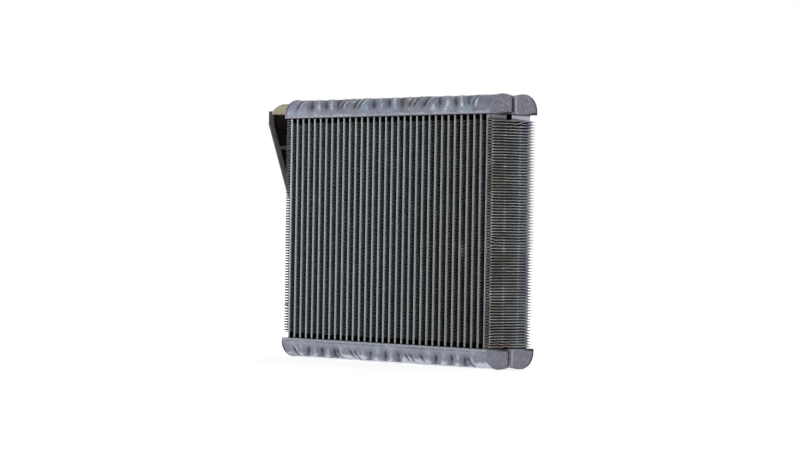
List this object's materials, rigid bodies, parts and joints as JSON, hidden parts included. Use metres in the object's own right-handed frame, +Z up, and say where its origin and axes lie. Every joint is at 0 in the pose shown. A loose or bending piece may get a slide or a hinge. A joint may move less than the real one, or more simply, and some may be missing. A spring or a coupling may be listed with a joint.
{
  "type": "evaporator core",
  "caption": "Brazed air-conditioning evaporator core: flat tubes in two rows, folded fins, twin-lobed tanks, a side connection block and a tapering bracket.",
  "frame": {"origin": "under the middle of the whole part's box, at the level of the bottom tank's lowest crown, that of its end caps", "axes": "+X along the tanks towards the plain right end, +Y from the front tube row to the rear one (the way that the air passes), +Z up"},
  "size_m": [0.3402, 0.0582, 0.2516],
  "materials": {
    "tube_aluminium": "brazed, satin",
    "fin_aluminium": "thin rolled sheet, satin",
    "tank_aluminium": "brazed, dull grey",
    "plate_aluminium": "brazed, dull grey",
    "cap_aluminium": "brazed, dull grey",
    "plain_aluminium": "satin",
    "tan_block": "tan conversion coat, matte",
    "bracket_metal": "grey-brown coat, matte",
    "black_foam": "closed-cell foam, matte"
  },
  "bodies": {
    "root": {"bottom_front_baffle": "plain_aluminium", "bottom_left_end_cap": "cap_aluminium", "bottom_rear_baffle": "plain_aluminium", "bottom_right_end_cap": "cap_aluminium", "bottom_tank_cover": "tank_aluminium", "bottom_tube_plate": "plate_aluminium", "bracket_rivets": "plain_aluminium", "connection_block": "tan_block", "end_bracket": "bracket_metal", "fin_group_1": "fin_aluminium", "fin_group_2": "fin_aluminium", "fin_group_3": "fin_aluminium", "fin_group_4": "fin_aluminium", "fin_group_5": "fin_aluminium", "fin_group_6": "fin_aluminium", "inlet_pipe": "plain_aluminium", "insulation_pad": "black_foam", "left_outer_fin": "fin_aluminium", "outlet_pipe": "plain_aluminium", "right_outer_fin": "fin_aluminium", "top_front_baffle": "plain_aluminium", "top_left_end_cap": "cap_aluminium", "top_rear_baffle": "plain_aluminium", "top_right_end_cap": "cap_aluminium", "top_tank_cover": "tank_aluminium", "top_tube_plate": "plate_aluminium", "tube_pair_01": "tube_aluminium", "tube_pair_02": "tube_aluminium", "tube_pair_03": "tube_aluminium", "tube_pair_04": "tube_aluminium", "tube_pair_05": "tube_aluminium", "tube_pair_06": "tube_aluminium", "tube_pair_07": "tube_aluminium", "tube_pair_08": "tube_aluminium", "tube_pair_09": "tube_aluminium", "tube_pair_10": "tube_aluminium", "tube_pair_11": "tube_aluminium", "tube_pair_12": "tube_aluminium", "tube_pair_13": "tube_aluminium", "tube_pair_14": "tube_aluminium", "tube_pair_15": "tube_aluminium", "tube_pair_16": "tube_aluminium", "tube_pair_17": "tube_aluminium", "tube_pair_18": "tube_aluminium", "tube_pair_19": "tube_aluminium", "tube_pair_20": "tube_aluminium", "tube_pair_21": "tube_aluminium", "tube_pair_22": "tube_aluminium", "tube_pair_23": "tube_aluminium", "tube_pair_24": "tube_aluminium", "tube_pair_25": "tube_aluminium", "tube_pair_26": "tube_aluminium", "tube_pair_27": "tube_aluminium", "tube_pair_28": "tube_aluminium", "tube_pair_29": "tube_aluminium", "tube_pair_30": "tube_aluminium", "tube_pair_31": "tube_aluminium", "tube_pair_32": "tube_aluminium", "tube_pair_33": "tube_aluminium"}
  },
  "joints": []
}
